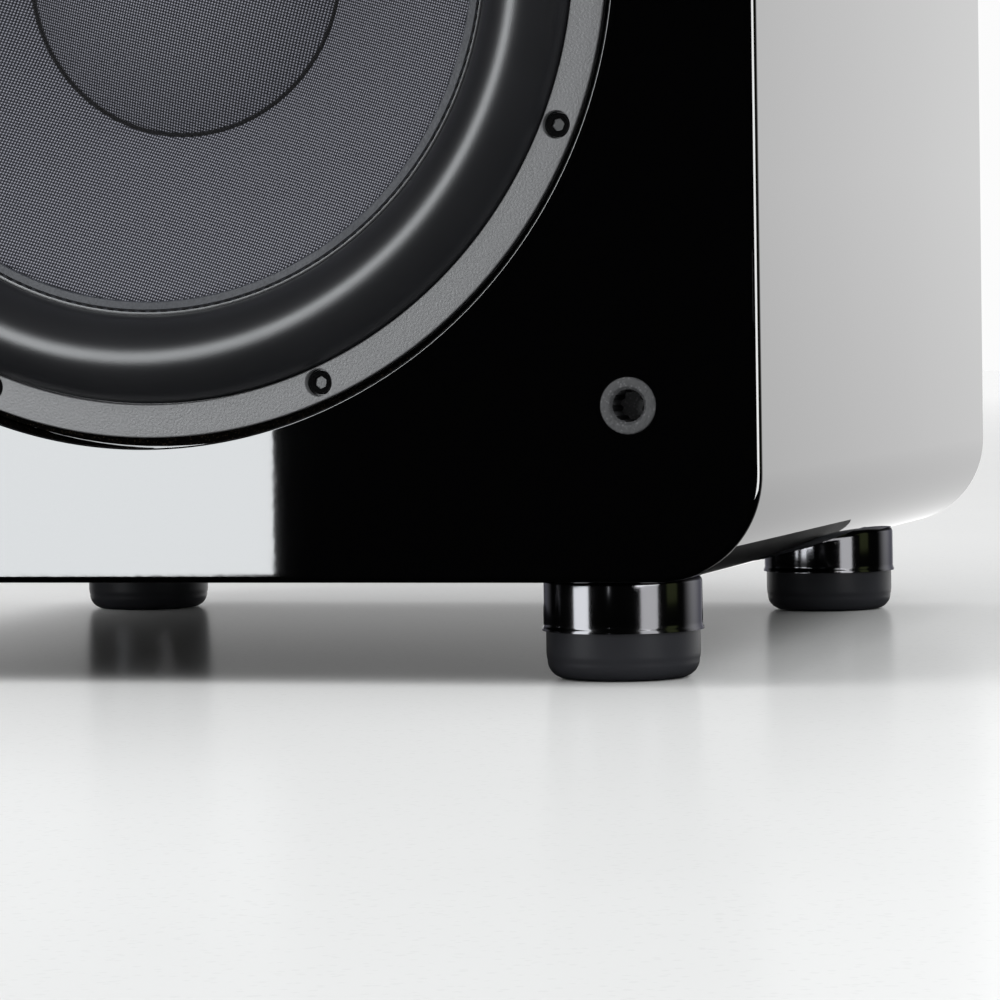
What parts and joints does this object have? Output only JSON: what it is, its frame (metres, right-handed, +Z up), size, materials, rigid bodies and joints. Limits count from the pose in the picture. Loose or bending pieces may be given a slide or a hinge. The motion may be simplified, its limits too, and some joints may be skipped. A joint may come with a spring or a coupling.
{
  "type": "powered subwoofer",
  "caption": "Closed-box powered subwoofer: gloss black cabinet with rounded long edges, woven-cone driver with a thick rubber roll, round feet and a rear plate amplifier.",
  "frame": {"origin": "on the floor under the middle of the whole object", "axes": "+Z up, the driver faces -Y, +X to the right seen from the front"},
  "size_m": [0.45, 0.503, 0.4828],
  "materials": {
    "black_lacquer": "gloss",
    "bare_board": "matt",
    "rear_paint": "satin",
    "polyester_wadding": "matt",
    "speckled_foam": "matt",
    "grey_ring": "satin",
    "black_casting": "satin",
    "black_steel": "satin",
    "zinc_steel": "satin",
    "ferrite": "matt",
    "black_rubber": "satin",
    "foot_rubber": "satin",
    "woven_cone": "satin",
    "black_thread": "matt",
    "former_foil": "satin",
    "copper_winding": "satin",
    "spider_cloth": "matt",
    "tinsel": "satin",
    "black_chrome": "polished",
    "amp_paint": "satin",
    "black_anodised": "satin",
    "knob_plastic": "satin",
    "black_plastic": "satin",
    "board_green": "satin",
    "can_sleeve": "satin",
    "yellow_wrap": "satin",
    "nickel": "polished",
    "lamp_lens": "gloss",
    "cable_jacket": "satin"
  },
  "bodies": {
    "cabinet": {"amp_enclosure": "zinc_steel", "amp_gasket": "speckled_foam", "amp_plate": "amp_paint", "amp_screws": "black_steel", "cabinet_shell": "black_lacquer", "cable_grommet": "black_rubber", "capacitors": "can_sleeve", "control_pots": "zinc_steel", "driver_basket": "black_casting", "driver_cable": "cable_jacket", "driver_gasket": "speckled_foam", "driver_inserts": "zinc_steel", "driver_screws": "black_steel", "foot_bolts": "zinc_steel", "foot_collar_front_left": "black_chrome", "foot_collar_front_right": "black_chrome", "foot_collar_rear_left": "black_chrome", "foot_collar_rear_right": "black_chrome", "foot_inserts": "zinc_steel", "foot_pad_front_left": "foot_rubber", "foot_pad_front_right": "foot_rubber", "foot_pad_rear_left": "foot_rubber", "foot_pad_rear_right": "foot_rubber", "front_baffle": "bare_board", "grille_sockets": "black_rubber", "heat_sink": "black_anodised", "heat_sink_screws": "zinc_steel", "inlet_housing": "black_plastic", "inlet_pins": "nickel", "line_jacks": "black_plastic", "magnet_boot": "black_rubber", "magnet_rings": "ferrite", "main_board": "board_green", "rear_panel": "rear_paint", "spider": "spider_cloth", "status_led": "lamp_lens", "surround": "black_rubber", "switch_bezel": "black_plastic", "terminal_block": "black_plastic", "tinsel_leads": "tinsel", "toggle_base": "nickel", "top_plate": "zinc_steel", "transformer": "yellow_wrap", "transformer_bolt": "zinc_steel", "trigger_jack": "nickel", "trim_ring": "grey_ring", "wadding": "polyester_wadding", "window_brace": "bare_board", "yoke": "zinc_steel"},
    "driver_cone": {"cone": "woven_cone", "dust_cap": "woven_cone", "edge_stitching": "black_thread", "voice_coil_former": "former_foil", "voice_coil": "copper_winding"},
    "volume_knob": {"volume_knob": "knob_plastic"},
    "crossover_knob": {"crossover_knob": "knob_plastic"},
    "phase_knob": {"phase_knob": "knob_plastic"},
    "power_rocker": {"power_rocker": "black_plastic"},
    "toggle_lever": {"toggle_lever": "nickel"},
    "fuse_drawer": {"fuse_drawer": "black_plastic"}
  },
  "joints": [
    {"name": "cone_stroke", "type": "slide", "parent": "cabinet", "child": "driver_cone", "axis": [0, -1, 0], "range_m": [-0.015, 0.015], "stiffness_N_per_m": 5000, "deforming": ["surround", "spider", "tinsel_leads"]},
    {"name": "volume_turn", "type": "hinge", "parent": "cabinet", "child": "volume_knob", "pos_m": [0.118, 0.2365, 0.3718], "axis": [0, 1, 0], "range_deg": [-150, 150]},
    {"name": "crossover_turn", "type": "hinge", "parent": "cabinet", "child": "crossover_knob", "pos_m": [0.073, 0.2365, 0.3718], "axis": [0, 1, 0], "range_deg": [-150, 150]},
    {"name": "phase_turn", "type": "hinge", "parent": "cabinet", "child": "phase_knob", "pos_m": [0.028, 0.2365, 0.3718], "axis": [0, 1, 0], "range_deg": [-150, 150]},
    {"name": "power_rock", "type": "hinge", "parent": "cabinet", "child": "power_rocker", "pos_m": [0.112, 0.2315, 0.1478], "axis": [1, 0, 0], "range_deg": [0, 20]},
    {"name": "mode_toggle", "type": "hinge", "parent": "cabinet", "child": "toggle_lever", "pos_m": [0.108, 0.2335, 0.3158], "axis": [1, 0, 0], "range_deg": [-12, 12]},
    {"name": "fuse_drawer_pull", "type": "slide", "parent": "cabinet", "child": "fuse_drawer", "axis": [0, 1, 0], "range_m": [0, 0.012]}
  ]
}
